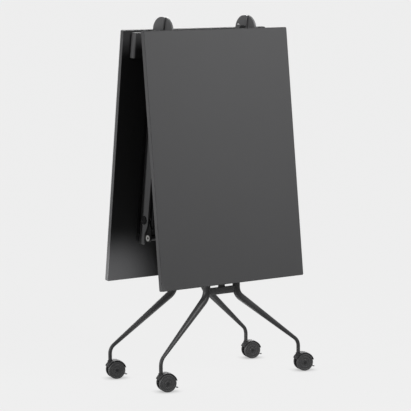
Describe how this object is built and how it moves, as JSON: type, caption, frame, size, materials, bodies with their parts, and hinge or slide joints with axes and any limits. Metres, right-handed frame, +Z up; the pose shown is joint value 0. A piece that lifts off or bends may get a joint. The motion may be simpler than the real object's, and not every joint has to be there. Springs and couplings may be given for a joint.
{
  "type": "folding training table on casters",
  "caption": "Rolling training table whose split top folds down into an upright A for storage, with arms, leg frames and braked twin-wheel casters that move together.",
  "frame": {"origin": "on the floor, straight under the middle of the centre hinge", "axes": "+X along the centre hinge to the right, +Y towards the rear half top, +Z up"},
  "size_m": [0.8377, 0.4251, 1.5327],
  "materials": {
    "laminate_board": "matte anthracite laminate on particle board",
    "edge_band": "matte anthracite edging",
    "painted_casting": "cast, with fine anthracite powder coat",
    "painted_steel": "fine anthracite powder coat",
    "black_steel": "black zinc with a dull lacquer",
    "pale_nylon": "plain moulded nylon",
    "zinc_steel": "bright zinc",
    "black_plastic": "fine moulded grain",
    "wheel": "smooth tread and moulded face"
  },
  "bodies": {
    "centre_frame": {"hinge_pin_left": "zinc_steel", "hinge_pin_right": "zinc_steel", "centre_lever_left": "black_steel", "centre_lever_right": "black_steel", "lift_bar": "black_steel"},
    "front_top": {"front_tabletop": "laminate_board", "front_edge_band": "edge_band", "front_arm_left": "painted_casting", "front_arm_right": "painted_casting", "front_split_rail": "painted_steel"},
    "front_leg_frame": {"front_leg_left": "painted_casting", "front_leg_right": "painted_casting", "front_cross_bar": "painted_steel", "front_centre_post": "painted_steel", "front_head_tube": "painted_steel", "front_head_bush_left": "pale_nylon", "front_head_bush_right": "pale_nylon", "front_lever_left": "black_steel", "front_lever_right": "black_steel", "front_pivot_axle": "zinc_steel", "front_pivot_cap": "black_plastic"},
    "front_link": {"front_link": "black_steel"},
    "rear_top": {"rear_tabletop": "laminate_board", "rear_edge_band": "edge_band", "rear_arm_left": "painted_casting", "rear_arm_right": "painted_casting", "rear_split_rail": "painted_steel"},
    "rear_leg_frame": {"rear_leg_left": "painted_casting", "rear_leg_right": "painted_casting", "rear_cross_bar": "painted_steel", "rear_centre_post": "painted_steel", "rear_head_tube": "painted_steel", "rear_head_bush_left": "pale_nylon", "rear_head_bush_right": "pale_nylon", "rear_lever_left": "black_steel", "rear_lever_right": "black_steel", "rear_pivot_axle": "zinc_steel", "rear_pivot_cap": "black_plastic"},
    "rear_link": {"rear_link": "black_steel"},
    "rear_left_caster": {"rear_left_hood": "black_plastic", "rear_left_axle": "black_plastic"},
    "rear_left_near_wheel": {"rear_left_near_wheel": "wheel"},
    "rear_left_far_wheel": {"rear_left_far_wheel": "wheel"},
    "rear_left_brake_pedal": {"rear_left_brake_pedal": "black_plastic"},
    "rear_right_caster": {"rear_right_hood": "black_plastic", "rear_right_axle": "black_plastic"},
    "rear_right_near_wheel": {"rear_right_near_wheel": "wheel"},
    "rear_right_far_wheel": {"rear_right_far_wheel": "wheel"},
    "rear_right_brake_pedal": {"rear_right_brake_pedal": "black_plastic"},
    "front_left_caster": {"front_left_hood": "black_plastic", "front_left_axle": "black_plastic"},
    "front_left_near_wheel": {"front_left_near_wheel": "wheel"},
    "front_left_far_wheel": {"front_left_far_wheel": "wheel"},
    "front_left_brake_pedal": {"front_left_brake_pedal": "black_plastic"},
    "front_right_caster": {"front_right_hood": "black_plastic", "front_right_axle": "black_plastic"},
    "front_right_near_wheel": {"front_right_near_wheel": "wheel"},
    "front_right_far_wheel": {"front_right_far_wheel": "wheel"},
    "front_right_brake_pedal": {"front_right_brake_pedal": "black_plastic"}
  },
  "joints": [
    {"name": "fold_front", "type": "hinge", "parent": "centre_frame", "child": "front_top", "pos_m": [0, 0, 1.47207], "axis": [-1, 0, 0], "range_deg": [0, 83.5]},
    {"name": "fold_rear", "type": "hinge", "parent": "centre_frame", "child": "rear_top", "pos_m": [0, 0, 1.47207], "axis": [1, 0, 0], "range_deg": [0, 83.5]},
    {"name": "leg_front", "type": "hinge", "parent": "front_top", "child": "front_leg_frame", "pos_m": [0, -0.12426, 0.673], "axis": [1, 0, 0], "range_deg": [0, 83.5]},
    {"name": "leg_rear", "type": "hinge", "parent": "rear_top", "child": "rear_leg_frame", "pos_m": [0, 0.12426, 0.673], "axis": [-1, 0, 0], "range_deg": [0, 83.5]},
    {"name": "link_front", "type": "hinge", "parent": "centre_frame", "child": "front_link", "pos_m": [0.209, 0.022, 1.43407], "axis": [-1, 0, 0], "range_deg": [0, 83.5]},
    {"name": "link_rear", "type": "hinge", "parent": "centre_frame", "child": "rear_link", "pos_m": [-0.209, -0.022, 1.43407], "axis": [1, 0, 0], "range_deg": [0, 83.5]},
    {"name": "rear_left_swivel", "type": "hinge", "parent": "rear_leg_frame", "child": "rear_left_caster", "pos_m": [-0.372, 0.179, 0.079], "axis": [0, 0, 1], "continuous": true},
    {"name": "rear_left_near_roll", "type": "hinge", "parent": "rear_left_caster", "child": "rear_left_near_wheel", "pos_m": [-0.34918, 0.17158, 0.0375], "axis": [0.309, 0.9511, 0], "continuous": true},
    {"name": "rear_left_far_roll", "type": "hinge", "parent": "rear_left_caster", "child": "rear_left_far_wheel", "pos_m": [-0.34918, 0.17158, 0.0375], "axis": [0.309, 0.9511, 0], "continuous": true},
    {"name": "rear_left_brake", "type": "hinge", "parent": "rear_left_caster", "child": "rear_left_brake_pedal", "pos_m": [-0.31969, 0.162, 0.0475], "axis": [0.309, 0.9511, 0], "range_deg": [0, 10]},
    {"name": "rear_right_swivel", "type": "hinge", "parent": "rear_leg_frame", "child": "rear_right_caster", "pos_m": [0.372, 0.179, 0.079], "axis": [0, 0, 1], "continuous": true},
    {"name": "rear_right_near_roll", "type": "hinge", "parent": "rear_right_caster", "child": "rear_right_near_wheel", "pos_m": [0.39482, 0.17158, 0.0375], "axis": [0.309, 0.9511, 0], "continuous": true},
    {"name": "rear_right_far_roll", "type": "hinge", "parent": "rear_right_caster", "child": "rear_right_far_wheel", "pos_m": [0.39482, 0.17158, 0.0375], "axis": [0.309, 0.9511, 0], "continuous": true},
    {"name": "rear_right_brake", "type": "hinge", "parent": "rear_right_caster", "child": "rear_right_brake_pedal", "pos_m": [0.42431, 0.162, 0.0475], "axis": [0.309, 0.9511, 0], "range_deg": [0, 10]},
    {"name": "front_left_swivel", "type": "hinge", "parent": "front_leg_frame", "child": "front_left_caster", "pos_m": [-0.372, -0.179, 0.079], "axis": [0, 0, 1], "continuous": true},
    {"name": "front_left_near_roll", "type": "hinge", "parent": "front_left_caster", "child": "front_left_near_wheel", "pos_m": [-0.34918, -0.18642, 0.0375], "axis": [0.309, 0.9511, 0], "continuous": true},
    {"name": "front_left_far_roll", "type": "hinge", "parent": "front_left_caster", "child": "front_left_far_wheel", "pos_m": [-0.34918, -0.18642, 0.0375], "axis": [0.309, 0.9511, 0], "continuous": true},
    {"name": "front_left_brake", "type": "hinge", "parent": "front_left_caster", "child": "front_left_brake_pedal", "pos_m": [-0.31969, -0.196, 0.0475], "axis": [0.309, 0.9511, 0], "range_deg": [0, 10]},
    {"name": "front_right_swivel", "type": "hinge", "parent": "front_leg_frame", "child": "front_right_caster", "pos_m": [0.372, -0.179, 0.079], "axis": [0, 0, 1], "continuous": true},
    {"name": "front_right_near_roll", "type": "hinge", "parent": "front_right_caster", "child": "front_right_near_wheel", "pos_m": [0.39482, -0.18642, 0.0375], "axis": [0.309, 0.9511, 0], "continuous": true},
    {"name": "front_right_far_roll", "type": "hinge", "parent": "front_right_caster", "child": "front_right_far_wheel", "pos_m": [0.39482, -0.18642, 0.0375], "axis": [0.309, 0.9511, 0], "continuous": true},
    {"name": "front_right_brake", "type": "hinge", "parent": "front_right_caster", "child": "front_right_brake_pedal", "pos_m": [0.42431, -0.196, 0.0475], "axis": [0.309, 0.9511, 0], "range_deg": [0, 10]}
  ],
  "couplings": [
    {"joint": "fold_rear", "follows": "fold_front", "ratio": 1},
    {"joint": "leg_front", "follows": "fold_front", "ratio": 1},
    {"joint": "leg_rear", "follows": "fold_front", "ratio": 1},
    {"joint": "link_front", "follows": "fold_front", "ratio": 1},
    {"joint": "link_rear", "follows": "fold_front", "ratio": 1}
  ]
}
